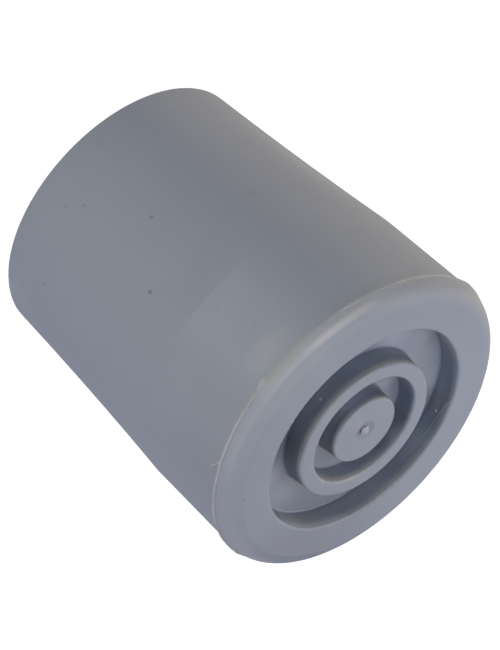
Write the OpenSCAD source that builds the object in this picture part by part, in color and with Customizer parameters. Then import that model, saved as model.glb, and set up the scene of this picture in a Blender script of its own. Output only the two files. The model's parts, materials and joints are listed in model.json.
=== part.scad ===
// Rubber cane tip: one solid moulded piece that pushes onto the end of a round walking-stick tube.
// It stands here on its open mouth, tread up. The origin is the centre of the mouth and +Z is the axis.
// All lengths are in millimetres.

/* [Body] */
// Height from the mouth to the tread face
tip_h = 41.8; // [36:0.2:60]
// Largest diameter, round the edge of the tread
base_d = 38; // [36:0.5:46]
// Thickness of the wall at the mouth
wall = 5.3; // [3:0.1:6]
// Distance from the tread face down to the crease, where the foot band meets the tapered flank
crease_drop = 14.8; // [8:0.2:24]
// Taper of the foot band, as radius lost between the parting line and the crease
band_taper = 0.42; // [0.1:0.02:0.8]
// How far the flank bows inwards between the mouth and the crease
flank_sag = 0.15; // [0.05:0.01:0.4]
// Rounding of the outer edge of the mouth
mouth_round = 0.5; // [0.2:0.1:1.2]

/* [Bore] */
// Diameter of the hole that grips the tube
bore_d = 22; // [18:0.1:25.4]
// Solid rubber between the bottom of the hole and the tread face
sole_h = 10; // [6:0.5:20]
// Rounding where the hole meets the mouth
lead_in = 0.8; // [0.3:0.1:1.5]
// Fillet round the bottom of the hole
bore_fillet = 1.5; // [0.5:0.1:3]

/* [Tread edge] */
// Radius of the rounded shoulder round the tread
shoulder_r = 2.2; // [1:0.1:2.3]
// Depth of the mould's parting line below the tread face
parting_drop = 2.4; // [2.3:0.1:4]
// Step at the parting line, where the foot band starts inside the shoulder
parting_step = 0.12; // [0.05:0.01:0.3]

/* [Tread] */
// Diameter of the outer groove at its outside
groove_d = 26.6; // [24:0.2:30]
// Depth of the outer groove
groove_depth = 2.9; // [1.5:0.1:4]
// Outer diameter of the ring
ring_d = 17.7; // [16.4:0.1:20.4]
// Width of the ring across its top
ring_w = 1.8; // [1.7:0.1:2.6]
// Depth of the inner groove
inner_depth = 2.6; // [1.2:0.1:4]
// Diameter of the centre boss
boss_d = 8.5; // [5:0.1:9]
// Draft of the groove walls, as width lost over their full depth
draft = 0.2; // [0.1:0.05:0.5]
// Rounding of the tread's edges
edge_r = 0.25; // [0.2:0.05:0.7]
// Fillet along the foot of the groove walls
foot_r = 0.25; // [0.1:0.05:0.4]

/* [Gate mark] */
// Diameter of the nub left where the mould was filled
nub_d = 1.1; // [0.6:0.1:2]
// Height of the nub above the tread face
nub_h = 0.35; // [0.05:0.05:0.4]
// Diameter of the shallow dish round the nub
dish_d = 2.8; // [2.2:0.1:4]
// Depth of the dish
dish_depth = 0.2; // [0.05:0.01:0.3]

/* [Hidden] */
rubber_grey = [0.53, 0.54, 0.59];
turn_fn = 180;
arc_fn = 96;
wide_arc_fn = 1440;
overshoot = 1;
bite = 2;

base_r = base_d / 2;
bore_r = bore_d / 2;
bore_depth = tip_h - sole_h;
mouth_r = bore_r + wall;
parting_z = tip_h - parting_drop;
band_r = base_r - parting_step;
crease_z = tip_h - crease_drop;
crease_r = band_r - band_taper;
band_slope = band_taper / (parting_z - crease_z);
groove_r = groove_d / 2;
ring_r = ring_d / 2;
ring_hole_r = ring_r - ring_w;
boss_r = boss_d / 2;

// Unit vector at an angle
function dir(a) = [cos(a), sin(a)];

// Angle of the line from one point to another
function angle_of(from, to) = atan2(to.y - from.y, to.x - from.x);

// Radius of the arc, or of the ball, whose cap has this width and height
function cap_radius(width, height) = (width * width / 4 + height * height) / (2 * height);

// The sliver between a corner and the arc that rounds it. The two edges leave the corner p at the
// angles a and b, less than 180 degrees apart. Taken away, it rounds a corner; added, it fills one.
// The arc crosses each edge at the small angle bite, so the two always meet in a clean point.
module corner(p, a, b, r) {
    half = (b - a) / 2;
    inset = r * cos(bite);
    mid = p + dir(a + half) * inset / sin(half);
    from = p + dir(a) * inset / tan(half);
    to = p + dir(b) * inset / tan(half);
    back = r / 2;
    difference() {
        polygon([
            mid,
            from,
            from + dir(a - 90) * back,
            p - dir(a + half) * back / sin(half),
            to + dir(b + 90) * back,
            to
        ]);
        translate(mid) circle(r = r, $fn = arc_fn);
    }
}

// Disc that hollows the flank: its edge passes through the mouth's corner and the crease
module flank_hollow() {
    low = [mouth_r, 0];
    high = [crease_r, crease_z];
    big_r = cap_radius(norm(high - low), flank_sag);
    out = dir(angle_of(low, high) - 90);
    translate((low + high) / 2 + out * (big_r - flank_sag)) circle(r = big_r, $fn = wide_arc_fn);
}

// Half section of the solid body, with the tread still plain. The blank stands proud below the crease,
// and the disc hollows the flank out of it.
module body_section() {
    difference() {
        polygon([
            [0, 0],
            [mouth_r + overshoot, 0],
            [crease_r - band_slope * overshoot, crease_z - overshoot],
            [band_r, parting_z],
            [base_r, parting_z],
            [base_r, tip_h],
            [0, tip_h]
        ]);
        flank_hollow();
        corner([base_r, tip_h], 180, 270, shoulder_r);
        corner([mouth_r, 0], angle_of([mouth_r, 0], [crease_r, crease_z]), 180, mouth_round);
    }
}

// Half section of the blind hole, flared at the mouth
module bore_section() {
    difference() {
        translate([0, -overshoot]) square([bore_r, bore_depth + overshoot]);
        corner([bore_r, bore_depth], 180, 270, bore_fillet);
    }
    corner([bore_r, 0], 0, 90, lead_in);
}

// Half section of a tread groove: drafted walls, rounded edges and filleted feet
module groove_section(inner, outer, depth) {
    floor_z = tip_h - depth;
    in_top = [inner, tip_h];
    in_foot = [inner + draft, floor_z];
    out_top = [outer, tip_h];
    out_foot = [outer - draft, floor_z];
    in_wall = angle_of(in_foot, in_top);
    out_wall = angle_of(out_foot, out_top);
    past_top = 1 + overshoot / depth;
    difference() {
        polygon([
            in_foot,
            out_foot,
            out_foot + (out_top - out_foot) * past_top,
            in_foot + (in_top - in_foot) * past_top
        ]);
        corner(in_foot, 0, in_wall, foot_r);
        corner(out_foot, out_wall, 180, foot_r);
    }
    corner(in_top, 180, in_wall + 180, edge_r);
    corner(out_top, out_wall + 180, 360, edge_r);
}

// The body with its hole and both grooves, turned in one piece
module turned_body() {
    rotate_extrude($fn = turn_fn)
        difference() {
            body_section();
            bore_section();
            groove_section(ring_r, groove_r, groove_depth);
            groove_section(boss_r, ring_hole_r, inner_depth);
        }
}

// Shallow dish in the middle of the boss
module gate_dish() {
    dish_r = cap_radius(dish_d, dish_depth);
    translate([0, 0, tip_h + dish_r - dish_depth]) sphere(r = dish_r, $fn = 720);
}

// Rounded nub in the dish
module gate_nub() {
    nub_r = cap_radius(nub_d, nub_h + dish_depth);
    translate([0, 0, tip_h + nub_h - nub_r]) sphere(r = nub_r, $fn = turn_fn);
}

module cane_tip() {
    color(rubber_grey) {
        difference() {
            turned_body();
            gate_dish();
        }
        gate_nub();
    }
}

cane_tip();
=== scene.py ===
import json
import math
import bpy
from mathutils import Matrix, Vector, noise


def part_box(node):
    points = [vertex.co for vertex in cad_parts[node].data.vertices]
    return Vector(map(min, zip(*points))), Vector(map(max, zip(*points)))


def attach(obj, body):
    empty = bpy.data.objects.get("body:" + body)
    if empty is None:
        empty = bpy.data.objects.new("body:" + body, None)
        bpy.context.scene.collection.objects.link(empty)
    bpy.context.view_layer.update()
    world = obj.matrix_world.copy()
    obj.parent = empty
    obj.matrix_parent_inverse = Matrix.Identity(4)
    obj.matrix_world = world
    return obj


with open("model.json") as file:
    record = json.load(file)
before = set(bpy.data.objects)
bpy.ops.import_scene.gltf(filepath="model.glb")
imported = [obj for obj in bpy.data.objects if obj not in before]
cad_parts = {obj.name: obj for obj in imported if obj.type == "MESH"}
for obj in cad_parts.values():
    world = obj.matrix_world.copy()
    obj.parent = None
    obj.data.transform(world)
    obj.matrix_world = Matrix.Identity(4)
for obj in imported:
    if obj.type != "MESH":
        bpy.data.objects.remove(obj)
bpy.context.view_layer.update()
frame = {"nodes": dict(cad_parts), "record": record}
print("frame loaded")

mm = 0.001
tip = frame["nodes"]["cane_tip"]
mounts = {mount["name"]: mount for mount in frame["record"]["mounts"]}
treadZ = mounts["ground_face"]["pos_m"][2]
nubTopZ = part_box("cane_tip")[1].z
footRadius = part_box("cane_tip")[1].x

# The solid's own sizes that the frame doesn't name, and that the marks and the added pieces follow
tread = {
    "shoulder": 2.2 * mm,        # radius of the rounded shoulder
    "partingDrop": 2.4 * mm,     # from the tread face down to the mould's parting line
    "partingStep": 0.12 * mm,
    "bandSlope": 0.034,          # radius that the foot band loses per length, going down
    "creaseDrop": 14.8 * mm,
    "mouthRadius": 16.3 * mm,
    "flankSag": 0.15 * mm,       # how far the flank bows inwards between the mouth and the crease
    "grooveRadius": 13.3 * mm,   # outer groove, at its outside
    "grooveDepth": 2.9 * mm,
    "ringRadius": 8.85 * mm,     # outside of the ring
    "ringHole": 7.05 * mm,       # inside of the ring
    "innerDepth": 2.6 * mm,      # of the inner groove, from the ring to the boss
    "bossRadius": 4.25 * mm,
    "draft": 0.2 * mm,           # what a groove wall leans over its depth
}
partingZ = treadZ - tread["partingDrop"]
creaseZ = treadZ - tread["creaseDrop"]

# Radius of each groove wall, half-way down
wallRadii = {
    "outer": tread["grooveRadius"] - tread["draft"] / 2,
    "ring": tread["ringRadius"] + tread["draft"] / 2,
    "hole": tread["ringHole"] - tread["draft"] / 2,
    "boss": tread["bossRadius"] + tread["draft"] / 2,
}


# A point on the tip: azimuth in degrees, anticlockwise from +X seen from above the tread
def around(radius, azimuth, height):
    angle = math.radians(azimuth)
    return Vector((radius * math.cos(angle), radius * math.sin(angle), height))


# Radius, height and outward slope of the outline, at a distance above (or below) the parting line
def edgeOutline(along):
    if along < 0:
        radius = footRadius - tread["partingStep"] + tread["bandSlope"] * along
        return radius, partingZ + along, 0.0
    straight = tread["partingDrop"] - tread["shoulder"]
    if along < straight:
        return footRadius, partingZ + along, 0.0
    slope = min((along - straight) / tread["shoulder"], math.pi / 2)
    radius = footRadius - tread["shoulder"] * (1 - math.cos(slope))
    height = treadZ - tread["shoulder"] * (1 - math.sin(slope))
    return radius, height, slope


def onEdge(azimuth, along, lift):
    radius, height, slope = edgeOutline(along)
    return around(radius + lift * math.cos(slope), azimuth, height + lift * math.sin(slope))


def smoothStep(low, high, value):
    share = min(max((value - low) / (high - low), 0.0), 1.0)
    return share * share * (3 - 2 * share)


# 1 inside a stretch of azimuth, fading to 0 over its ends
def stretch(azimuth, start, end, fade):
    begun = smoothStep(start - fade, start + fade, azimuth)
    return begun * (1 - smoothStep(end - fade, end + fade, azimuth))


# The camera looks down at the tread, and is rolled so that the standing tip lies on its side
cameraView = {
    "elevation": 30.64,          # degrees above the floor
    "roll": 132.55,
    "distance": 0.64495,         # from the tread's centre
    "offset": (0.012368, -0.011328),   # the tread's centre, right of and above the middle of the view
    "focalPixels": 6000.0,
    "imageSize": (500, 650),
    "sensor": 36.0,
    "clipEnd": 20.0,             # past the far edge of the floor
}


def makeCamera(view):
    elevation = math.radians(view["elevation"])
    roll = math.radians(view["roll"])
    back = Vector((0.0, -math.cos(elevation), math.sin(elevation)))
    side = Vector((1.0, 0.0, 0.0))
    up = back.cross(side)
    right = side * math.cos(roll) + up * math.sin(roll)
    top = up * math.cos(roll) - side * math.sin(roll)
    offX, offY = view["offset"]
    place = Vector((0, 0, treadZ)) - right * offX - top * offY + back * view["distance"]
    cameraData = bpy.data.cameras.new("camera")
    cameraData.sensor_width = view["sensor"]
    cameraData.lens = view["focalPixels"] * view["sensor"] / max(view["imageSize"])
    cameraData.clip_end = view["clipEnd"]
    camera = bpy.data.objects.new("camera", cameraData)
    bpy.context.scene.collection.objects.link(camera)
    camera.matrix_world = Matrix((
        (right.x, top.x, back.x, place.x),
        (right.y, top.y, back.y, place.y),
        (right.z, top.z, back.z, place.z),
        (0, 0, 0, 1),
    ))
    bpy.context.scene.camera = camera


makeCamera(cameraView)
print("camera set")


# Sets a socket to a value, or links it to another socket
def feed(tree, socket, value):
    if isinstance(value, bpy.types.NodeSocket):
        tree.links.new(value, socket)
    else:
        socket.default_value = value


def calc(tree, operation, *values, clamp=False):
    node = tree.nodes.new("ShaderNodeMath")
    node.operation = operation
    node.use_clamp = clamp
    for socket, value in zip(node.inputs, values):
        feed(tree, socket, value)
    return node.outputs[0]


def hypotenuse(tree, first, second):
    squares = [calc(tree, "MULTIPLY", side, side) for side in (first, second)]
    return calc(tree, "SQRT", calc(tree, "ADD", *squares))


def remap(tree, value, fromLow, fromHigh, toLow=0.0, toHigh=1.0):
    node = tree.nodes.new("ShaderNodeMapRange")
    node.interpolation_type = "SMOOTHSTEP"
    for name, number in (("Value", value), ("From Min", fromLow), ("From Max", fromHigh),
                         ("To Min", toLow), ("To Max", toHigh)):
        feed(tree, node.inputs[name], number)
    return node.outputs[0]


def blendColour(tree, factor, first, second, mode="MIX"):
    node = tree.nodes.new("ShaderNodeMix")
    node.data_type = "RGBA"
    node.blend_type = mode
    feed(tree, node.inputs[0], factor)
    feed(tree, node.inputs[6], first)
    feed(tree, node.inputs[7], second)
    return node.outputs[2]


def noiseNode(tree, vector, scale, detail=2.0, roughness=0.5, distortion=0.0):
    node = tree.nodes.new("ShaderNodeTexNoise")
    for name, value in (("Vector", vector), ("Scale", scale), ("Detail", detail),
                        ("Roughness", roughness), ("Distortion", distortion)):
        feed(tree, node.inputs[name], value)
    return node.outputs[0]


def shaderGroup(name, inputs, outputs):
    group = bpy.data.node_groups.new(name, "ShaderNodeTree")
    for socketName, kind in inputs:
        group.interface.new_socket(socketName, in_out="INPUT", socket_type="NodeSocket" + kind)
    for socketName, kind in outputs:
        group.interface.new_socket(socketName, in_out="OUTPUT", socket_type="NodeSocket" + kind)
    return group, group.nodes.new("NodeGroupInput").outputs, group.nodes.new("NodeGroupOutput").inputs


def placeGroup(tree, group, **values):
    node = tree.nodes.new("ShaderNodeGroup")
    node.node_tree = group
    for name, value in values.items():
        feed(tree, node.inputs[name], value)
    return node.outputs


# Mask of a patch on the round wall: 1 at its middle, 0 past its edge
def makeWallPatch():
    group, given, result = shaderGroup(
        "wallPatch",
        [("Vector", "Vector"), ("Azimuth", "Float"), ("Height", "Float"), ("HalfAngle", "Float"),
         ("HalfHeight", "Float"), ("Soft", "Float")],
        [("Mask", "Float")])
    turn = group.nodes.new("ShaderNodeVectorRotate")
    turn.rotation_type = "Z_AXIS"
    group.links.new(given["Vector"], turn.inputs["Vector"])
    back = calc(group, "MULTIPLY", given["Azimuth"], -1.0)
    group.links.new(calc(group, "RADIANS", back), turn.inputs["Angle"])
    parts = group.nodes.new("ShaderNodeSeparateXYZ")
    group.links.new(turn.outputs[0], parts.inputs[0])
    angle = calc(group, "DEGREES", calc(group, "ARCTAN2", parts.outputs["Y"], parts.outputs["X"]))
    across = calc(group, "DIVIDE", angle, given["HalfAngle"])
    above = calc(group, "SUBTRACT", parts.outputs["Z"], given["Height"])
    reach = hypotenuse(group, across, calc(group, "DIVIDE", above, given["HalfHeight"]))
    group.links.new(remap(group, reach, 1.0, calc(group, "SUBTRACT", 1.0, given["Soft"])), result["Mask"])
    return group


spotEdge = {
    "scale": 5000.0,             # of the noise that makes the edge ragged
    "least": 0.6,                # factor on the distance from the centre, where the noise is lowest
    "swing": 0.8,                # added to it where the noise is highest
}


# Mask of a small spot anywhere: 1 inside its radius, with a soft, slightly ragged edge
def makeSpot():
    group, given, result = shaderGroup(
        "spot", [("Vector", "Vector"), ("Centre", "Vector"), ("Radius", "Float"), ("Soft", "Float")],
        [("Mask", "Float")])
    apart = group.nodes.new("ShaderNodeVectorMath")
    apart.operation = "DISTANCE"
    group.links.new(given["Vector"], apart.inputs[0])
    group.links.new(given["Centre"], apart.inputs[1])
    rag = noiseNode(group, given["Vector"], spotEdge["scale"])
    rag = calc(group, "MULTIPLY_ADD", rag, spotEdge["swing"], spotEdge["least"])
    reach = calc(group, "MULTIPLY", calc(group, "DIVIDE", apart.outputs["Value"], given["Radius"]), rag)
    group.links.new(remap(group, reach, 1.0, calc(group, "SUBTRACT", 1.0, given["Soft"])), result["Mask"])
    return group


grainNoise = {
    # scale, detail, roughness and distortion of each noise
    "cloud": (140.0, 3.0, 0.55, 0.4),
    "grain": (2600.0, 2.0, 0.6),
    "stain": (520.0, 2.0, 0.5),
    "gloss": 0.16,               # how much the stains change the roughness
    "stainRelief": 0.8,          # height of the stains' relief as a share of the grain's
    "bumpDistance": 0.012 * mm,
}


# Moulded rubber: cloudy tone, fine grain and a very low relief
def makeGrain():
    group, given, result = shaderGroup(
        "rubberGrain", [("Vector", "Vector"), ("Cloud", "Float"), ("Grain", "Float"), ("Relief", "Float")],
        [("Tone", "Float"), ("Gloss", "Float"), ("Normal", "Vector")])
    cloud, grain, stain = [noiseNode(group, given["Vector"], *grainNoise[name])
                           for name in ("cloud", "grain", "stain")]
    tone = 1.0
    for source, amount in ((cloud, given["Cloud"]), (grain, given["Grain"]), (stain, given["Grain"])):
        tone = calc(group, "MULTIPLY_ADD", calc(group, "SUBTRACT", source, 0.5), amount, tone)
    group.links.new(tone, result["Tone"])
    gloss = calc(group, "MULTIPLY", calc(group, "SUBTRACT", stain, 0.5), grainNoise["gloss"])
    group.links.new(gloss, result["Gloss"])
    bump = group.nodes.new("ShaderNodeBump")
    bump.inputs["Distance"].default_value = grainNoise["bumpDistance"]
    group.links.new(given["Relief"], bump.inputs["Strength"])
    height = calc(group, "MULTIPLY_ADD", stain, grainNoise["stainRelief"], grain)
    group.links.new(height, bump.inputs["Height"])
    group.links.new(bump.outputs[0], result["Normal"])
    return group


wallPatch = makeWallPatch()
spot = makeSpot()
rubberGrain = makeGrain()

# The rubber of the tip, with painted light and shade in many of its tones. A tone is a factor on the colour,
# as one number or as red, green and blue.
rubberLook = {
    "colour": (0.300, 0.300, 0.300, 1),
    "roughness": 0.56,
    "cloud": 0.07,
    "grain": 0.035,
    "relief": 0.5,
    "treadTone": 1.10,           # the mould's tread half leaves a slightly paler finish
    "specular": 0.5,
    # painted highlights and painted shade on areas of the outer wall, among them painted light near the
    # mouth: azimuth, height, half angle, half height, soft share, tone
    "patches": [
        (273.0, 37.0 * mm, 13.0, 2.6 * mm, 0.9, (1.14, 1.11, 1.05)),
        (270.0, 24.0 * mm, 22.0, 4.5 * mm, 1.0, (0.97, 0.97, 0.97)),
        (318.0, 36.0 * mm, 22.0, 8.0 * mm, 1.0, (0.95, 0.95, 0.95)),
        (335.0, 0.0 * mm, 22.0, 8.0 * mm, 1.0, (1.13, 1.13, 1.10)),
        (196.0, 16.0 * mm, 10.0, 15.0 * mm, 1.0, (1.20, 1.16, 1.10)),
        (300.0, 40.68 * mm, 34.0, 0.45 * mm, 0.9, (1.05, 1.05, 1.05)),
        (208.0, 40.70 * mm, 32.0, 0.95 * mm, 0.7, (0.86, 0.87, 0.91)),
        (272.0, 41.45 * mm, 20.0, 0.70 * mm, 0.9, (0.93, 0.93, 0.94)),
        (281.0, 40.70 * mm, 8.0, 0.90 * mm, 0.9, (0.93, 0.93, 0.94)),
    ],
    # painted sheen on the face of the foot band, from the crease up: azimuth, half angle, soft share, tone
    "bandFaces": [
        (272.0, 22.0, 0.7, (1.095, 1.09, 1.06)),
    ],
    # duller areas of the outer wall: azimuth, height, half angle, half height, soft share, shine lost
    "dull": [
        (204.0, 40.65 * mm, 37.0, 1.10 * mm, 0.6, 0.9),
    ],
    # painted light and shade over the tread, in round areas: azimuth, radius, depth under the tread face,
    # size, tone
    "shades": [
        (28.0, 17.0 * mm, 0.0 * mm, 13.0 * mm, 0.83),
        (60.0, 15.0 * mm, 1.0 * mm, 8.0 * mm, 0.92),
        (150.0, 14.0 * mm, 0.0 * mm, 12.0 * mm, 1.03),
    ],
    # painted light and shade in round areas as above, but only inside the grooves
    "grooveShades": [
        (80.0, 13.4 * mm, 2.6 * mm, 3.2 * mm, 1.10),
        (205.0, 11.0 * mm, 4.4 * mm, 4.2 * mm, 1.40),
        (314.0, 9.0 * mm, 3.2 * mm, 3.6 * mm, 0.65),
        (5.0, 11.0 * mm, 3.4 * mm, 4.4 * mm, 1.20),
        (110.0, 13.6 * mm, 1.6 * mm, 4.5 * mm, (0.96, 1.06, 1.16)),
        (152.0, 13.4 * mm, 1.2 * mm, 4.5 * mm, (0.92, 1.02, 1.12)),
        (150.0, 7.1 * mm, 1.2 * mm, 3.2 * mm, (0.90, 0.98, 1.10)),
        (95.0, 7.1 * mm, 1.2 * mm, 3.2 * mm, (0.92, 0.98, 1.06)),
        (115.0, 13.4 * mm, 0.4 * mm, 2.6 * mm, 0.86),
        (88.0, 13.4 * mm, 0.4 * mm, 2.6 * mm, 0.86),
        (100.0, 13.4 * mm, 0.4 * mm, 2.2 * mm, 0.90),
        (137.0, 13.4 * mm, 0.4 * mm, 3.0 * mm, 0.87),
        (137.0, 12.9 * mm, 3.6 * mm, 2.8 * mm, 1.50),
        (149.0, 13.0 * mm, 3.6 * mm, 2.6 * mm, 1.32),
        (160.0, 13.0 * mm, 3.6 * mm, 2.6 * mm, 1.32),
        (178.0, 12.4 * mm, 2.9 * mm, 2.6 * mm, 1.18),
        (172.0, 6.1 * mm, 2.6 * mm, 1.8 * mm, 1.32),
        (342.0, 10.9 * mm, 2.9 * mm, 2.6 * mm, 1.26),
        (243.0, 8.85 * mm, 2.2 * mm, 2.6 * mm, 1.12),
        (256.0, 4.3 * mm, 1.4 * mm, 2.4 * mm, 1.16),
        (45.0, 7.0 * mm, 0.4 * mm, 3.0 * mm, 1.10),
    ],
    # painted light and shade on areas of a groove wall: wall, azimuth, depth under the tread face, half
    # angle, half depth, tone
    "wallTones": [
        ("outer", 8.0, 0.35 * mm, 30.0, 1.0 * mm, (1.08, 1.24, 1.52)),
        ("outer", 43.0, 0.50 * mm, 24.0, 1.0 * mm, (1.19, 1.24, 1.32)),
        ("outer", 68.0, 0.70 * mm, 16.0, 0.9 * mm, (1.12, 1.12, 1.12)),
        ("outer", 112.0, 0.40 * mm, 34.0, 1.0 * mm, (0.72, 0.74, 0.79)),
        ("outer", 150.0, 0.30 * mm, 14.0, 0.8 * mm, (0.90, 0.89, 0.89)),
        ("outer", 174.0, 1.20 * mm, 13.0, 2.0 * mm, (1.34, 1.38, 1.50)),
        ("outer", 55.0, 2.00 * mm, 34.0, 1.5 * mm, (1.17, 1.21, 1.17)),
        ("outer", 100.0, 1.90 * mm, 28.0, 1.3 * mm, (1.17, 1.16, 1.15)),
        ("outer", 128.0, 1.60 * mm, 20.0, 1.1 * mm, (1.32, 1.34, 1.28)),
        ("outer", 153.0, 1.60 * mm, 18.0, 1.4 * mm, (1.12, 1.07, 1.04)),
        ("hole", 15.0, 0.25 * mm, 32.0, 0.6 * mm, (1.00, 1.06, 1.22)),
        ("hole", 55.0, 0.45 * mm, 40.0, 0.7 * mm, (1.50, 1.47, 1.32)),
        ("hole", 120.0, 0.40 * mm, 26.0, 0.7 * mm, (0.80, 0.82, 0.86)),
        ("hole", 160.0, 0.30 * mm, 20.0, 0.8 * mm, (0.76, 0.80, 0.86)),
        ("boss", 248.0, 1.30 * mm, 62.0, 1.0 * mm, (1.34, 1.30, 1.28)),
        ("boss", 255.0, 0.15 * mm, 80.0, 0.35 * mm, (0.72, 0.74, 0.76)),
        ("ring", 215.0, 1.40 * mm, 34.0, 1.0 * mm, (1.18, 1.20, 1.15)),
        ("ring", 335.0, 0.50 * mm, 24.0, 0.9 * mm, (1.35, 1.38, 1.45)),
        ("ring", 272.0, 0.60 * mm, 34.0, 0.5 * mm, (0.88, 0.88, 0.92)),
        ("ring", 212.0, 0.10 * mm, 34.0, 0.3 * mm, (0.84, 0.90, 1.05)),
    ],
    "edgeDull": 0.85,            # share of shine lost on the rounded edges of the grooves
    # dark specks in the outer wall: azimuth, height, radius, depth of tone
    "specks": [
        (285.1, 20.6 * mm, 0.26 * mm, 0.42),
        (265.5, 14.4 * mm, 0.23 * mm, 0.38),
        (233.1, 19.8 * mm, 0.36 * mm, 0.11),
        (315.0, 6.6 * mm, 0.22 * mm, 0.24),
        (279.1, 6.5 * mm, 0.22 * mm, 0.18),
        (284.4, 4.7 * mm, 0.20 * mm, 0.13),
        (273.3, 29.0 * mm, 0.26 * mm, 0.08),
        (269.0, 33.7 * mm, 0.25 * mm, 0.06),
        (258.0, 2.4 * mm, 0.50 * mm, 0.06),
        (172.0, 24.0 * mm, 0.26 * mm, 0.35),
        (121.0, 11.5 * mm, 0.30 * mm, 0.30),
        (66.0, 29.0 * mm, 0.24 * mm, 0.38),
        (24.0, 16.0 * mm, 0.28 * mm, 0.32),
    ],
    "paleSpots": [
        (206.1, 6.7 * mm, 0.60 * mm, 0.08),
        (224.0, 2.7 * mm, 0.32 * mm, 0.12),
        (40.0, 21.0 * mm, 0.80 * mm, 0.06),
    ],
    "spotSpread": 1.4,           # size of a spot's mask, over the size of the spot that it leaves
    "spotSoft": 0.8,
    # spots on the tread, three of them a painted shadow round the gate nub: azimuth, radius, depth under the
    # tread face, size, tone
    "treadSpots": [
        (327.0, 16.7 * mm, 0.0 * mm, 0.22 * mm, 0.72),
        (349.9, 1.65 * mm, 0.0 * mm, 0.17 * mm, 1.22),
        (14.0, 11.83 * mm, 2.9 * mm, 0.13 * mm, 0.70),
        (275.0, 8.85 * mm, 1.6 * mm, 0.19 * mm, 2.4),
        (5.0, 7.12 * mm, 0.05 * mm, 0.22 * mm, 1.30),
        (9.5, 7.45 * mm, 0.0 * mm, 0.20 * mm, 1.22),
        (121.1, 13.2 * mm, 1.42 * mm, 0.17 * mm, 2.3),
        # painted shadow round the gate nub
        (288.0, 0.66 * mm, 0.1 * mm, 0.24 * mm, 0.72),
        (316.0, 0.68 * mm, 0.1 * mm, 0.26 * mm, 0.68),
        (345.0, 0.66 * mm, 0.1 * mm, 0.24 * mm, 0.74),
    ],
}

# Where the masks of the rubber begin and end
maskEdges = {
    "parting": 0.05 * mm,        # half the blend across the parting line
    "crease": 0.15 * mm,         # half the blend across the crease
    "grooveMargin": 0.30 * mm,   # how far the groove masks reach past the outer groove
    "grooveBlend": 0.05 * mm,
    "underTread": (0.005 * mm, 0.05 * mm),   # depths where the groove masks begin, and where they are full
    "roundedEdge": (0.70 * mm, 0.25 * mm),   # the same for the edges' loss of shine, from below
    "besideWall": (0.45 * mm, 0.30 * mm),    # the same for the painted light and shade on a groove wall, as distances from it
    "anyHeight": 1.0,            # half height of a patch that covers every height
}


# Radius of the outer wall at a height below the parting line
def wallRadiusAt(height):
    bandRadius = footRadius - tread["partingStep"] - tread["bandSlope"] * (partingZ - max(height, creaseZ))
    share = min(height / creaseZ, 1.0)
    sag = 4 * tread["flankSag"] * share * (1 - share)
    return tread["mouthRadius"] + (bandRadius - tread["mouthRadius"]) * share - sag


def wallMask(tree, place, azimuth, height, halfAngle, halfHeight, soft):
    return placeGroup(tree, wallPatch, Vector=place, Azimuth=azimuth, Height=height,
                      HalfAngle=halfAngle, HalfHeight=halfHeight, Soft=soft)["Mask"]


def spotMask(tree, place, centre, radius, soft):
    return placeGroup(tree, spot, Vector=place, Centre=centre, Radius=radius, Soft=soft)["Mask"]


def tint(tree, colour, mask, tone):
    red, green, blue = tone if isinstance(tone, tuple) else (tone, tone, tone)
    return blendColour(tree, mask, colour, (red, green, blue, 1), "MULTIPLY")


# Factor on the shine, where a mask takes a share of it away
def keptShine(tree, mask, lost):
    return calc(tree, "SUBTRACT", 1.0, calc(tree, "MULTIPLY", mask, lost))


# Painted highlights, painted shade and painted sheen on the outer wall
def tintOuterWall(tree, place, height, look, colour):
    for azimuth, middle, halfAngle, halfHeight, soft, tone in look["patches"]:
        mask = wallMask(tree, place, azimuth, middle, halfAngle, halfHeight, soft)
        colour = tint(tree, colour, mask, tone)
    blend = maskEdges["crease"]
    aboveCrease = remap(tree, height, creaseZ - blend, creaseZ + blend)
    for azimuth, halfAngle, soft, tone in look["bandFaces"]:
        mask = wallMask(tree, place, azimuth, creaseZ, halfAngle, maskEdges["anyHeight"], soft)
        colour = tint(tree, colour, calc(tree, "MULTIPLY", mask, aboveCrease), tone)
    return colour


# Painted light and shade inside the grooves and on their walls
def tintGrooves(tree, place, reach, inGrooves, look, colour):
    for azimuth, radius, depth, size, tone in look["grooveShades"]:
        mask = spotMask(tree, place, around(radius, azimuth, treadZ - depth), size, 1.0)
        colour = tint(tree, colour, calc(tree, "MULTIPLY", mask, inGrooves), tone)
    for wall, azimuth, depth, halfAngle, halfDepth, tone in look["wallTones"]:
        mask = wallMask(tree, place, azimuth, treadZ - depth, halfAngle, halfDepth, 1.0)
        apart = calc(tree, "ABSOLUTE", calc(tree, "SUBTRACT", reach, wallRadii[wall]))
        onWall = calc(tree, "MULTIPLY", inGrooves, remap(tree, apart, *maskEdges["besideWall"]))
        colour = tint(tree, colour, calc(tree, "MULTIPLY", mask, onWall), tone)
    return colour


# The painted light and shade of the tread, then the specks and spots, which are small and have firmer edges;
# three of the tread's spots are a painted shadow round the gate nub
def addMarks(tree, place, look, colour):
    marks = [(around(radius, azimuth, treadZ - depth), size, 1.0, tone)
             for azimuth, radius, depth, size, tone in look["shades"]]
    spread, soft = look["spotSpread"], look["spotSoft"]
    for names, sign in (("specks", -1), ("paleSpots", 1)):
        marks += [(around(wallRadiusAt(height), azimuth, height), radius * spread, soft, 1 + sign * depth)
                  for azimuth, height, radius, depth in look[names]]
    marks += [(around(radius, azimuth, treadZ - depth), size * spread, soft, tone)
              for azimuth, radius, depth, size, tone in look["treadSpots"]]
    for centre, radius, softness, tone in marks:
        colour = tint(tree, colour, spotMask(tree, place, centre, radius, softness), tone)
    return colour


def startMaterial(name):
    material = bpy.data.materials.new(name)
    material.use_nodes = True
    tree = material.node_tree
    place = tree.nodes.new("ShaderNodeTexCoord").outputs["Object"]
    return material, tree, tree.nodes["Principled BSDF"], place
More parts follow.
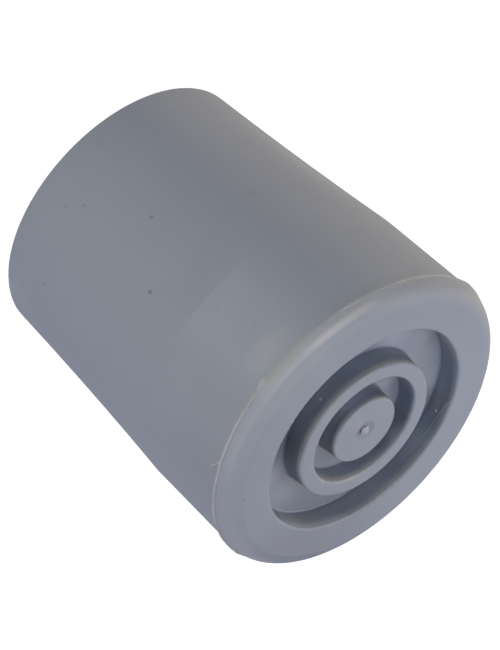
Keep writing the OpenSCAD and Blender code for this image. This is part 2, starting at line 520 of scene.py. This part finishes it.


# Moulded rubber with its marks and its painted light and shade. Each layer names a share stored in the mesh
# and the colour it brings.
def makeRubber(name, look, layers=()):
    material, tree, shader, place = startMaterial(name)
    parts = tree.nodes.new("ShaderNodeSeparateXYZ")
    tree.links.new(place, parts.inputs[0])
    height = parts.outputs["Z"]
    grain = placeGroup(tree, rubberGrain, Vector=place, Cloud=look["cloud"], Grain=look["grain"],
                       Relief=look["relief"])
    blend = maskEdges["parting"]
    halfTone = remap(tree, height, partingZ - blend, partingZ + blend, 1.0, look["treadTone"])
    tone = calc(tree, "MULTIPLY", grain["Tone"], halfTone)
    colour = blendColour(tree, 1.0, look["colour"], tone, "MULTIPLY")

    reach = hypotenuse(tree, parts.outputs["X"], parts.outputs["Y"])
    grooveEdge = tread["grooveRadius"] + maskEdges["grooveMargin"]
    amongGrooves = remap(tree, reach, grooveEdge, grooveEdge - maskEdges["grooveBlend"])
    depth = calc(tree, "SUBTRACT", treadZ, height)
    inGrooves = calc(tree, "MULTIPLY", amongGrooves, remap(tree, depth, *maskEdges["underTread"]))
    onEdges = calc(tree, "MULTIPLY", inGrooves, remap(tree, depth, *maskEdges["roundedEdge"]))

    colour = tintOuterWall(tree, place, height, look, colour)
    colour = tintGrooves(tree, place, reach, inGrooves, look, colour)
    colour = addMarks(tree, place, look, colour)
    for share, added in layers:
        weight = tree.nodes.new("ShaderNodeAttribute")
        weight.attribute_name = share
        colour = blendColour(tree, weight.outputs["Fac"], colour, added)

    shine = calc(tree, "MULTIPLY", look["specular"], keptShine(tree, onEdges, look["edgeDull"]))
    for azimuth, middle, halfAngle, halfHeight, soft, lost in look["dull"]:
        mask = wallMask(tree, place, azimuth, middle, halfAngle, halfHeight, soft)
        shine = calc(tree, "MULTIPLY", shine, keptShine(tree, mask, lost))
    tree.links.new(shine, shader.inputs["Specular IOR Level"])
    tree.links.new(colour, shader.inputs["Base Color"])
    tree.links.new(calc(tree, "ADD", grain["Gloss"], look["roughness"]), shader.inputs["Roughness"])
    tree.links.new(grain["Normal"], shader.inputs["Normal"])
    return material


tip.data.materials.clear()
tip.data.materials.append(makeRubber("mouldedRubber", rubberLook))
print("rubber made")

# Torn and squeezed rubber, for the flash and the threads
tornLook = {
    "lilac": (0.415, 0.400, 0.375, 1),
    "tan": (0.400, 0.370, 0.315, 1),
    "roughness": 0.55,
    "cloud": 0.10,
    "grain": 0.25,
    "relief": 0.8,
    "tanAround": (272.0, 27.0, 0.4),   # azimuth, half angle and soft share of the tan stain
    "dimAround": (210.0, 40.0, 0.35),  # the same for the stretch where the flash is duller
    "dimTone": (0.76, 0.76, 0.76),
}


def makeTornRubber(name, look):
    material, tree, shader, place = startMaterial(name)
    grain = placeGroup(tree, rubberGrain, Vector=place, Cloud=look["cloud"], Grain=look["grain"],
                       Relief=look["relief"])
    tanMask, dimMask = [wallMask(tree, place, azimuth, partingZ, halfAngle, maskEdges["anyHeight"], soft)
                        for azimuth, halfAngle, soft in (look["tanAround"], look["dimAround"])]
    colour = blendColour(tree, tanMask, look["lilac"], look["tan"])
    colour = tint(tree, colour, dimMask, look["dimTone"])
    tree.links.new(blendColour(tree, 1.0, colour, grain["Tone"], "MULTIPLY"), shader.inputs["Base Color"])
    shader.inputs["Roughness"].default_value = look["roughness"]
    tree.links.new(grain["Normal"], shader.inputs["Normal"])
    return material


tornRubber = makeTornRubber("tornRubber", tornLook)

threadShape = {
    "sides": 8,
    "lumpDetail": 3.0,
    "thinnest": 0.12,            # least share of its thickness that a thread keeps
}


# Geometry Nodes tree that turns a path into an uneven rubber thread
def makeThreadTree():
    tree = bpy.data.node_groups.new("rubberThread", "GeometryNodeTree")
    tree.interface.new_socket("Path", in_out="INPUT", socket_type="NodeSocketGeometry")
    for name in ("Thickness", "Unevenness", "Wander", "Lumps", "Taper", "Seed"):
        tree.interface.new_socket(name, in_out="INPUT", socket_type="NodeSocketFloat")
    tree.interface.new_socket("Material", in_out="INPUT", socket_type="NodeSocketMaterial")
    tree.interface.new_socket("Thread", in_out="OUTPUT", socket_type="NodeSocketGeometry")
    given = tree.nodes.new("NodeGroupInput").outputs
    result = tree.nodes.new("NodeGroupOutput").inputs
    where = tree.nodes.new("GeometryNodeInputPosition").outputs[0]
    curve = tree.nodes.new("GeometryNodeMeshToCurve")
    tree.links.new(given["Path"], curve.inputs["Mesh"])
    lumps = tree.nodes.new("ShaderNodeTexNoise")
    lumps.noise_dimensions = "4D"
    lumps.inputs["Detail"].default_value = threadShape["lumpDetail"]
    for source, socket in ((where, "Vector"), (given["Seed"], "W"), (given["Lumps"], "Scale")):
        tree.links.new(source, lumps.inputs[socket])
    sway = tree.nodes.new("ShaderNodeVectorMath")
    sway.operation = "SUBTRACT"
    tree.links.new(lumps.outputs["Color"], sway.inputs[0])
    sway.inputs[1].default_value = (0.5, 0.5, 0.5)
    push = tree.nodes.new("ShaderNodeVectorMath")
    push.operation = "SCALE"
    tree.links.new(sway.outputs[0], push.inputs[0])
    tree.links.new(given["Wander"], push.inputs["Scale"])
    bend = tree.nodes.new("GeometryNodeSetPosition")
    tree.links.new(curve.outputs[0], bend.inputs["Geometry"])
    tree.links.new(push.outputs[0], bend.inputs["Offset"])
    swell = calc(tree, "SUBTRACT", lumps.outputs["Fac"], 0.5)
    swell = calc(tree, "MULTIPLY_ADD", swell, given["Unevenness"], 1.0)
    along = tree.nodes.new("GeometryNodeSplineParameter").outputs["Factor"]
    taper = calc(tree, "SUBTRACT", 1.0, calc(tree, "MULTIPLY", along, given["Taper"]))
    scale = calc(tree, "MAXIMUM", calc(tree, "MULTIPLY", swell, taper), threadShape["thinnest"])
    profile = tree.nodes.new("GeometryNodeCurvePrimitiveCircle")
    profile.inputs["Resolution"].default_value = threadShape["sides"]
    tree.links.new(calc(tree, "MULTIPLY", given["Thickness"], 0.5), profile.inputs["Radius"])
    sweep = tree.nodes.new("GeometryNodeCurveToMesh")
    sweep.inputs["Fill Caps"].default_value = True
    tree.links.new(bend.outputs[0], sweep.inputs["Curve"])
    tree.links.new(profile.outputs["Curve"], sweep.inputs["Profile Curve"])
    tree.links.new(scale, sweep.inputs["Scale"])
    smooth = tree.nodes.new("GeometryNodeSetShadeSmooth")
    tree.links.new(sweep.outputs[0], smooth.inputs["Geometry"])
    real = tree.nodes.new("GeometryNodeRealizeInstances")
    tree.links.new(smooth.outputs[0], real.inputs[0])
    paint = tree.nodes.new("GeometryNodeSetMaterial")
    tree.links.new(real.outputs[0], paint.inputs["Geometry"])
    tree.links.new(given["Material"], paint.inputs["Material"])
    tree.links.new(paint.outputs[0], result["Thread"])
    return tree


threadTree = makeThreadTree()


def addPiece(name, mesh):
    piece = bpy.data.objects.new(name, mesh)
    bpy.context.scene.collection.objects.link(piece)
    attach(piece, "root")
    return piece


# Sweeps each path, a list of points, and joins the threads in one piece
def addThread(name, paths, thread, material):
    points = [point for path in paths for point in path]
    edges = []
    start = 0
    for path in paths:
        edges += [(start + i, start + i + 1) for i in range(len(path) - 1)]
        if thread.get("closed"):
            edges.append((start + len(path) - 1, start))
        start += len(path)
    pathMesh = bpy.data.meshes.new(name + "Path")
    pathMesh.from_pydata(points, edges, [])
    guide = bpy.data.objects.new(name + "Guide", pathMesh)
    bpy.context.scene.collection.objects.link(guide)
    modifier = guide.modifiers.new("thread", "NODES")
    modifier.node_group = threadTree
    values = {
        "Thickness": thread["thickness"],
        "Unevenness": thread["unevenness"],
        "Wander": thread["wander"],
        "Lumps": thread["lumps"],
        "Taper": thread.get("taper", 0.0),
        "Seed": thread["seed"],
        "Material": material,
    }
    for item in threadTree.interface.items_tree:
        if item.name in values:
            modifier[item.identifier] = values[item.name]
    made = guide.evaluated_get(bpy.context.evaluated_depsgraph_get())
    mesh = bpy.data.meshes.new_from_object(made)
    mesh.name = name
    bpy.data.objects.remove(guide)
    return addPiece(name, mesh)


# The fine fin that the mould's two halves squeezed out all round the parting line
partingFlash = {
    "thickness": 0.38 * mm,
    "unevenness": 0.9,
    "wander": 0.10 * mm,
    "lumps": 900.0,
    "seed": 3.0,
    "closed": True,
    "step": 0.5,                 # degrees from one point to the next
    "rise": 0.02 * mm,
    # where it leaves the parting line: azimuth from, to, fade, shift up, sunk into the wall
    "drifts": [
        (186.0, 247.0, 5.0, 0.32 * mm, 0.04 * mm),
        (190.0, 232.0, 4.0, 0.07 * mm, 0.0 * mm),
        (247.0, 259.0, 3.0, 0.10 * mm, 0.30 * mm),
        (259.0, 284.5, 1.5, -0.20 * mm, 0.30 * mm),
    ],
}


def flashPlace(azimuth):
    along, sunk = partingFlash["rise"], 0.0
    for start, end, fade, shift, depth in partingFlash["drifts"]:
        share = stretch(azimuth, start, end, fade)
        along += share * shift
        sunk += share * depth
    return along, sunk


def makePartingFlash():
    count = round(360 / partingFlash["step"])
    path = []
    for i in range(count):
        azimuth = i * partingFlash["step"]
        along, sunk = flashPlace(azimuth)
        path.append(onEdge(azimuth, along, -sunk))
    addThread("partingFlash", [path], partingFlash, tornRubber)


# The tag of rubber that lies on the band below the flash
flashTag = {
    "thickness": 0.42 * mm,
    "unevenness": 0.5,
    "wander": 0.08 * mm,
    "lumps": 700.0,
    "taper": 0.6,
    "seed": 8.0,
    "from": (311.8, 0.0 * mm),   # azimuth, and distance above the parting line
    "to": (316.5, -1.15 * mm),
    "hang": 1.2,                 # above 1 it runs level at first and then drops
    "lift": 0.09 * mm,           # of its middle, off the wall
    "points": 12,
}


def makeFlashTag():
    (startAzimuth, startAlong), (endAzimuth, endAlong) = flashTag["from"], flashTag["to"]
    path = []
    for i in range(flashTag["points"]):
        share = i / (flashTag["points"] - 1)
        azimuth = startAzimuth + (endAzimuth - startAzimuth) * share
        along = startAlong + (endAlong - startAlong) * share ** flashTag["hang"]
        path.append(onEdge(azimuth, along, flashTag["lift"]))
    addThread("flashTag", [path], flashTag, tornRubber)


makePartingFlash()
makeFlashTag()
print("flash made")

# The thin film of flash that is smeared over the shoulder on one side, with a raised lip at its top that
# carries a painted highlight.
# A stretch is an azimuth from, an azimuth to and a fade. Heights run along the outline from the parting line.
flashFilm = {
    "azimuths": (228.0, 291.0),
    "along": (-0.75 * mm, 2.1 * mm),
    "columns": 190,
    "rows": 44,
    "sink": 0.05 * mm,           # how far the underside lies in the tip
    "skin": 0.012 * mm,          # thickness of the faintest film
    "skinFull": 0.25,            # share of film at which the skin is full
    "skinLeast": 0.01,           # share of film below which there is none
    "thickness": 0.045 * mm,
    "lip": 0.05 * mm,
    "seed": 5.0,
    "ragged": 0.75,              # swings of the ragged edge per degree
    "tan": (0.380, 0.352, 0.302, 1),
    "pale": (0.530, 0.485, 0.440, 1),
    # the tan film: how far its lower edge hangs in each stretch, and its upper edge
    "hangs": [
        (0.32 * mm, (259.5, 283.5, 2.5)),
        (0.30 * mm, (279.5, 284.0, 1.2)),
    ],
    "lowFade": 0.10 * mm,
    "high": 0.92 * mm,
    "highFade": (-0.22 * mm, 0.30 * mm),
    "wander": 0.10 * mm,
    "highWander": 1.5,           # how far the upper edge wanders, over how far the lower one does
    # strength of the tan, and how blotchy it is: swing, scale and limits
    "strong": (0.95, (261.0, 282.5, 3.0)),
    "weak": (0.50, (234.0, 284.0, 3.5)),
    "blotches": (0.9, 2.2, 0.35, 1.15),
    # the lip and its painted highlight: place and half width, each with how much it shrinks over a stretch of
    # azimuth
    "lipAlong": (1.48 * mm, 0.12 * mm, (250.0, 268.0)),
    "lipHalf": (0.56 * mm, 0.14 * mm, (256.0, 270.0)),
    "lipSharpness": 1.3,
    # strength of the painted highlight on the lip over each stretch
    "lipShares": [
        (0.42, (236.0, 284.0, 5.0)),
        (0.22, (236.0, 262.0, 5.0)),
        (0.36, (246.0, 264.0, 5.0)),
    ],
    # pale film between the tan and the lip: strength, where it rises and where it falls
    "upper": (0.12, (0.1 * mm, 0.4 * mm), (0.9 * mm, 1.2 * mm)),
    # pale bead at the end of the film: strength, stretch, how far it rises and where it falls
    "bead": (0.42, (280.0, 286.0, 1.2), 0.2 * mm, (-0.05 * mm, 0.25 * mm)),
}


def ragged(azimuth, along, scale):
    return noise.noise(Vector((azimuth * flashFilm["ragged"], along / mm * scale, flashFilm["seed"])))


# A length or share that gets smaller over a stretch of azimuth
def shrinking(values, azimuth):
    full, shrink, (start, end) = values
    return full - shrink * smoothStep(start, end, azimuth)


def tanShare(azimuth, along, low, wander):
    film = flashFilm
    high = film["high"] + film["highWander"] * wander
    fadeLow, fadeHigh = film["highFade"]
    inside = smoothStep(low - film["lowFade"], low + film["lowFade"], along)
    inside *= 1 - smoothStep(high + fadeLow, high + fadeHigh, along)
    strength = max(share * stretch(azimuth, *span) for share, span in (film["strong"], film["weak"]))
    swing, scale, least, most = film["blotches"]
    blotch = 1 + swing * ragged(azimuth, along, scale)
    return min(inside * strength * min(max(blotch, least), most), 1.0)


def paleShare(azimuth, along, low):
    film = flashFilm
    across = (along - shrinking(film["lipAlong"], azimuth)) / shrinking(film["lipHalf"], azimuth)
    lip = max(0.0, 1 - across ** 2) ** film["lipSharpness"]
    lip *= sum(share * stretch(azimuth, *span) for share, span in film["lipShares"])
    share, rising, falling = film["upper"]
    upper = share * stretch(azimuth, *film["strong"][1])
    upper *= smoothStep(*rising, along) * (1 - smoothStep(*falling, along))
    share, span, rise, falling = film["bead"]
    bead = share * stretch(azimuth, *span)
    bead *= smoothStep(low, low + rise, along) * (1 - smoothStep(*falling, along))
    return min(lip + upper + bead, 1.0)


# Shares of tan film and of pale film, whose share on the lip is a painted highlight, at a place on the edge
def filmShares(azimuth, along):
    wander = flashFilm["wander"] * ragged(azimuth, 0.0, 1.0)
    low = wander - sum(hang * stretch(azimuth, *span) for hang, span in flashFilm["hangs"])
    return tanShare(azimuth, along, low, wander), paleShare(azimuth, along, low)


# Height of the film's outer side over the tip. It dips into the tip where there is no film.
def filmLift(tan, pale):
    cover = tan + pale
    skin = min(1.0, cover / flashFilm["skinFull"]) - (cover < flashFilm["skinLeast"])
    return flashFilm["skin"] * skin + flashFilm["thickness"] * tan + flashFilm["lip"] * pale


def makeFlashFilm():
    (start, end), (lowest, highest) = flashFilm["azimuths"], flashFilm["along"]
    columns, rows = flashFilm["columns"], flashFilm["rows"]
    top, under, tans, pales = [], [], [], []
    for column in range(columns):
        azimuth = start + (end - start) * column / (columns - 1)
        for row in range(rows):
            along = lowest + (highest - lowest) * row / (rows - 1)
            tan, pale = filmShares(azimuth, along)
            rim = column in (0, columns - 1) or row in (0, rows - 1)
            top.append(onEdge(azimuth, along, -flashFilm["skin"] if rim else filmLift(tan, pale)))
            under.append(onEdge(azimuth, along, -flashFilm["sink"]))
            tans.append(tan)
            pales.append(pale)
    sheet = columns * rows
    faces = []
    for column in range(columns - 1):
        for row in range(rows - 1):
            corner = column * rows + row
            outer = [corner, corner + rows, corner + rows + 1, corner + 1]
            faces.append(outer)
            faces.append([index + sheet for index in reversed(outer)])
    border = [column * rows for column in range(columns)]
    border += [(columns - 1) * rows + row for row in range(1, rows)]
    border += [column * rows + rows - 1 for column in range(columns - 2, -1, -1)]
    border += [row for row in range(rows - 2, 0, -1)]
    for first, second in zip(border, border[1:] + border[:1]):
        faces.append([second, first, first + sheet, second + sheet])
    mesh = bpy.data.meshes.new("flashFilm")
    mesh.from_pydata(top + under, [], faces)
    mesh.update()
    mesh.polygons.foreach_set("use_smooth", [True] * len(mesh.polygons))
    for name, values in (("tanShare", tans + tans), ("paleShare", pales + pales)):
        mesh.attributes.new(name, "FLOAT", "POINT").data.foreach_set("value", values)
    layers = (("tanShare", flashFilm["tan"]), ("paleShare", flashFilm["pale"]))
    mesh.materials.append(makeRubber("filmRubber", rubberLook, layers))
    addPiece("flashFilm", mesh)


makeFlashFilm()
print("film made")

# Ragged threads of flash left where the groove floors meet their outer walls
grooveThread = {
    "thickness": 0.13 * mm,
    "unevenness": 2.6,
    "wander": 0.10 * mm,
    "lumps": 1700.0,
    "seed": 12.0,
    "arc": (-2.0, 60.0),         # azimuths
    "step": 0.5,                 # degrees from one point to the next
    "inset": 0.10 * mm,          # of its middle, from the foot of the wall
    "lift": 0.04 * mm,           # of its middle, off the floor
}
tornThread = dict(grooveThread, thickness=0.15 * mm, wander=0.30 * mm, lumps=2300.0,
                  arc=(136.0, 180.0), seed=31.0)
innerThread = dict(grooveThread, thickness=0.08 * mm, inset=0.08 * mm, arc=(136.0, 168.0), seed=21.0)
threadLook = dict(tornLook, lilac=(0.45, 0.43, 0.42, 1))
paleThread = makeTornRubber("paleThread", threadLook)


# A thread in the corner between a groove's outer wall and its floor
def makeGrooveThread(name, thread, wallRadius, floorDepth):
    start, end = thread["arc"]
    steps = round((end - start) / thread["step"])
    radius = wallRadius - tread["draft"] - thread["inset"]
    height = treadZ - floorDepth + thread["lift"]
    path = [around(radius, start + (end - start) * i / steps, height) for i in range(steps + 1)]
    addThread(name, [path], thread, paleThread)


makeGrooveThread("grooveThread", grooveThread, tread["grooveRadius"], tread["grooveDepth"])
makeGrooveThread("tornThread", tornThread, tread["grooveRadius"], tread["grooveDepth"])
makeGrooveThread("innerThread", innerThread, tread["ringHole"], tread["innerDepth"])

# The swirl that the flowing rubber left in the outer groove's wall. Its places are azimuths and heights.
wallSwirl = {
    "thickness": 0.32 * mm,
    "unevenness": 0.8,
    "wander": 0.06 * mm,
    "lumps": 500.0,
    "taper": 0.5,
    "seed": 9.0,
    "sunk": 0.07 * mm,           # depth of its middle in the wall
    "steps": 12,                 # points from one of the places below to the next
    "places": [
        (131.0, 41.6 * mm), (125.0, 40.9 * mm), (120.0, 40.75 * mm), (113.0, 40.6 * mm), (108.5, 40.5 * mm),
        (103.5, 40.35 * mm), (101.0, 39.9 * mm), (100.5, 39.4 * mm),
    ],
}


def makeWallSwirl():
    path = []
    places = wallSwirl["places"]
    for (azimuth, height), (nextAzimuth, nextHeight) in zip(places, places[1:]):
        for step in range(wallSwirl["steps"]):
            share = step / wallSwirl["steps"]
            level = height + (nextHeight - height) * share
            wallRadius = tread["grooveRadius"] - tread["draft"] * (treadZ - level) / tread["grooveDepth"]
            bearing = azimuth + (nextAzimuth - azimuth) * share
            path.append(around(wallRadius + wallSwirl["sunk"], bearing, level))
    addThread("wallSwirl", [path], wallSwirl, tip.data.materials[0])


makeWallSwirl()

# The torn cap on the gate nub
gateTear = {
    "radius": 0.55 * mm,         # of the nub's ball
    "reach": 74.0,               # degrees of the ball that the cap covers
    "lift": 0.015 * mm,
    "torn": 0.05 * mm,           # how far the skin swings in and out
    "tearScale": 2.6,            # swings in the length of the ball's radius
    "rimSunk": 0.03 * mm,
    "rings": 10,
    "spokes": 40,
    "seed": 4.0,
}
gateColour = (0.43, 0.41, 0.425, 1)
gateLook = dict(tornLook, lilac=gateColour, tan=gateColour, dimTone=1.0)


def makeGateTear():
    rings, spokes = gateTear["rings"], gateTear["spokes"]
    centre = Vector((0, 0, nubTopZ - gateTear["radius"]))
    points = [centre + Vector((0, 0, gateTear["radius"] + gateTear["lift"]))]
    for ring in range(1, rings + 1):
        lean = math.radians(gateTear["reach"] * ring / rings)
        for spoke in range(spokes):
            azimuth = 360.0 * spoke / spokes
            out = around(math.sin(lean), azimuth, math.cos(lean))
            torn = noise.noise(out * gateTear["tearScale"] + Vector((0, 0, gateTear["seed"])))
            lift = -gateTear["rimSunk"] if ring == rings else gateTear["lift"] + gateTear["torn"] * torn
            points.append(centre + out * (gateTear["radius"] + lift))
    points.append(centre)
    faces = [[0, 1 + i, 1 + (i + 1) % spokes] for i in range(spokes)]
    for ring in range(rings - 1):
        low = 1 + ring * spokes
        for i in range(spokes):
            j = (i + 1) % spokes
            faces.append([low + i, low + spokes + i, low + spokes + j, low + j])
    last = 1 + (rings - 1) * spokes
    faces += [[last + spokes, last + (i + 1) % spokes, last + i] for i in range(spokes)]
    mesh = bpy.data.meshes.new("gateTear")
    mesh.from_pydata(points, [], faces)
    mesh.update()
    mesh.polygons.foreach_set("use_smooth", [True] * len(mesh.polygons))
    mesh.materials.append(makeTornRubber("tornGate", gateLook))
    addPiece("gateTear", mesh)


makeGateTear()
print("threads and gate made")

# The light table and the lamps round it
studio = {
    "floorHalf": 5.0,
    "floorColour": (0.2, 0.2, 0.2, 1),
    "floorRoughness": 0.9,
    "tableGlow": (0.31, 0.355, 0.52, 1),     # light that the table gives the tip from below
    "power": 10.0,               # of a lamp at one metre, in watts
    "aim": (0.0, 0.0, 0.025),
    "nearAim": (0.0, 0.0, 0.040),
    "near": 0.5,                 # lamps closer than this are aimed at the tread
    # rings of lamps: name, elevation, diameter and distance, then the lamps by their bearing from the
    # camera's side, with each one's colour times its strength
    "rings": [
        ("low", 6, 0.22, 1.00, {
            0: (0.06, 0.09, 0.13),
            30: (0.14, 0.14, 0.13),
            60: (0.23, 0.22, 0.23),
            120: (0.05, 0.04, 0.05),
            150: (0.05, 0.04, 0.05),
            240: (0.45, 0.39, 0.26),
            270: (0.06, 0.03, 0.00),
            330: (0.16, 0.14, 0.07),
        }),
        ("raised", 25, 0.40, 1.00, {
            120: (0.03, 0.05, 0.06),
            150: (0.00, 0.00, 0.02),
        }),
        ("high", 68, 0.40, 1.00, {
            0: (0.00, 0.05, 0.18),
            300: (0.02, 0.06, 0.07),
        }),
        ("top", 89, 0.40, 1.00, {
            0: (0.34, 0.29, 0.27),
        }),
        ("nearLow", 30, 0.07, 0.16, {
            180: (0.09, 0.09, 0.10),
            210: (0.02, 0.04, 0.10),
        }),
        ("nearHigh", 55, 0.07, 0.16, {
            210: (0.10, 0.11, 0.09),
            270: (0.13, 0.13, 0.18),
        }),
    ],
}


# The table looks white to the camera and gives the tip a dimmer, bluish light
def makeTable():
    half = studio["floorHalf"]
    mesh = bpy.data.meshes.new("floor")
    corners = [(-half, -half, 0), (half, -half, 0), (half, half, 0), (-half, half, 0)]
    mesh.from_pydata(corners, [], [(0, 1, 2, 3)])
    floor = bpy.data.objects.new("floor", mesh)
    bpy.context.scene.collection.objects.link(floor)
    white = bpy.data.materials.new("floorWhite")
    white.use_nodes = True
    tree = white.node_tree
    shader = tree.nodes["Principled BSDF"]
    shader.inputs["Base Color"].default_value = studio["floorColour"]
    shader.inputs["Roughness"].default_value = studio["floorRoughness"]
    seen = tree.nodes.new("ShaderNodeLightPath").outputs["Is Camera Ray"]
    glow = blendColour(tree, seen, studio["tableGlow"], (1, 1, 1, 1))
    tree.links.new(glow, shader.inputs["Emission Color"])
    shader.inputs["Emission Strength"].default_value = 1.0
    mesh.materials.append(white)


# The world is white to the camera and gives no light
def makeWorld():
    world = bpy.data.worlds.new("studio")
    bpy.context.scene.world = world
    world.use_nodes = True
    tree = world.node_tree
    background = tree.nodes["Background"]
    background.inputs["Color"].default_value = (1, 1, 1, 1)
    seen = tree.nodes.new("ShaderNodeLightPath").outputs["Is Camera Ray"]
    tree.links.new(seen, background.inputs["Strength"])


def makeLamp(name, bearing, elevation, size, distance, colour):
    side, rise = math.radians(bearing), math.radians(elevation)
    away = Vector((math.sin(side) * math.cos(rise), -math.cos(side) * math.cos(rise), math.sin(rise)))
    lampData = bpy.data.lights.new(name, "AREA")
    lampData.shape = "DISK"
    lampData.size = size
    strongest = max(colour)
    lampData.energy = studio["power"] * strongest * distance ** 2
    lampData.color = [part / strongest for part in colour]
    lamp = bpy.data.objects.new(name, lampData)
    bpy.context.scene.collection.objects.link(lamp)
    aim = studio["nearAim"] if distance < studio["near"] else studio["aim"]
    lamp.location = Vector(aim) + away * distance
    lamp.rotation_euler = (-away).to_track_quat("-Z", "Y").to_euler()
    lamp.visible_camera = False


makeTable()
makeWorld()
for ringName, elevation, size, distance, lamps in studio["rings"]:
    for bearing, colour in lamps.items():
        makeLamp(ringName + str(bearing), bearing, elevation, size, distance, colour)
bpy.context.scene.view_settings.view_transform = "Standard"
print("studio made")
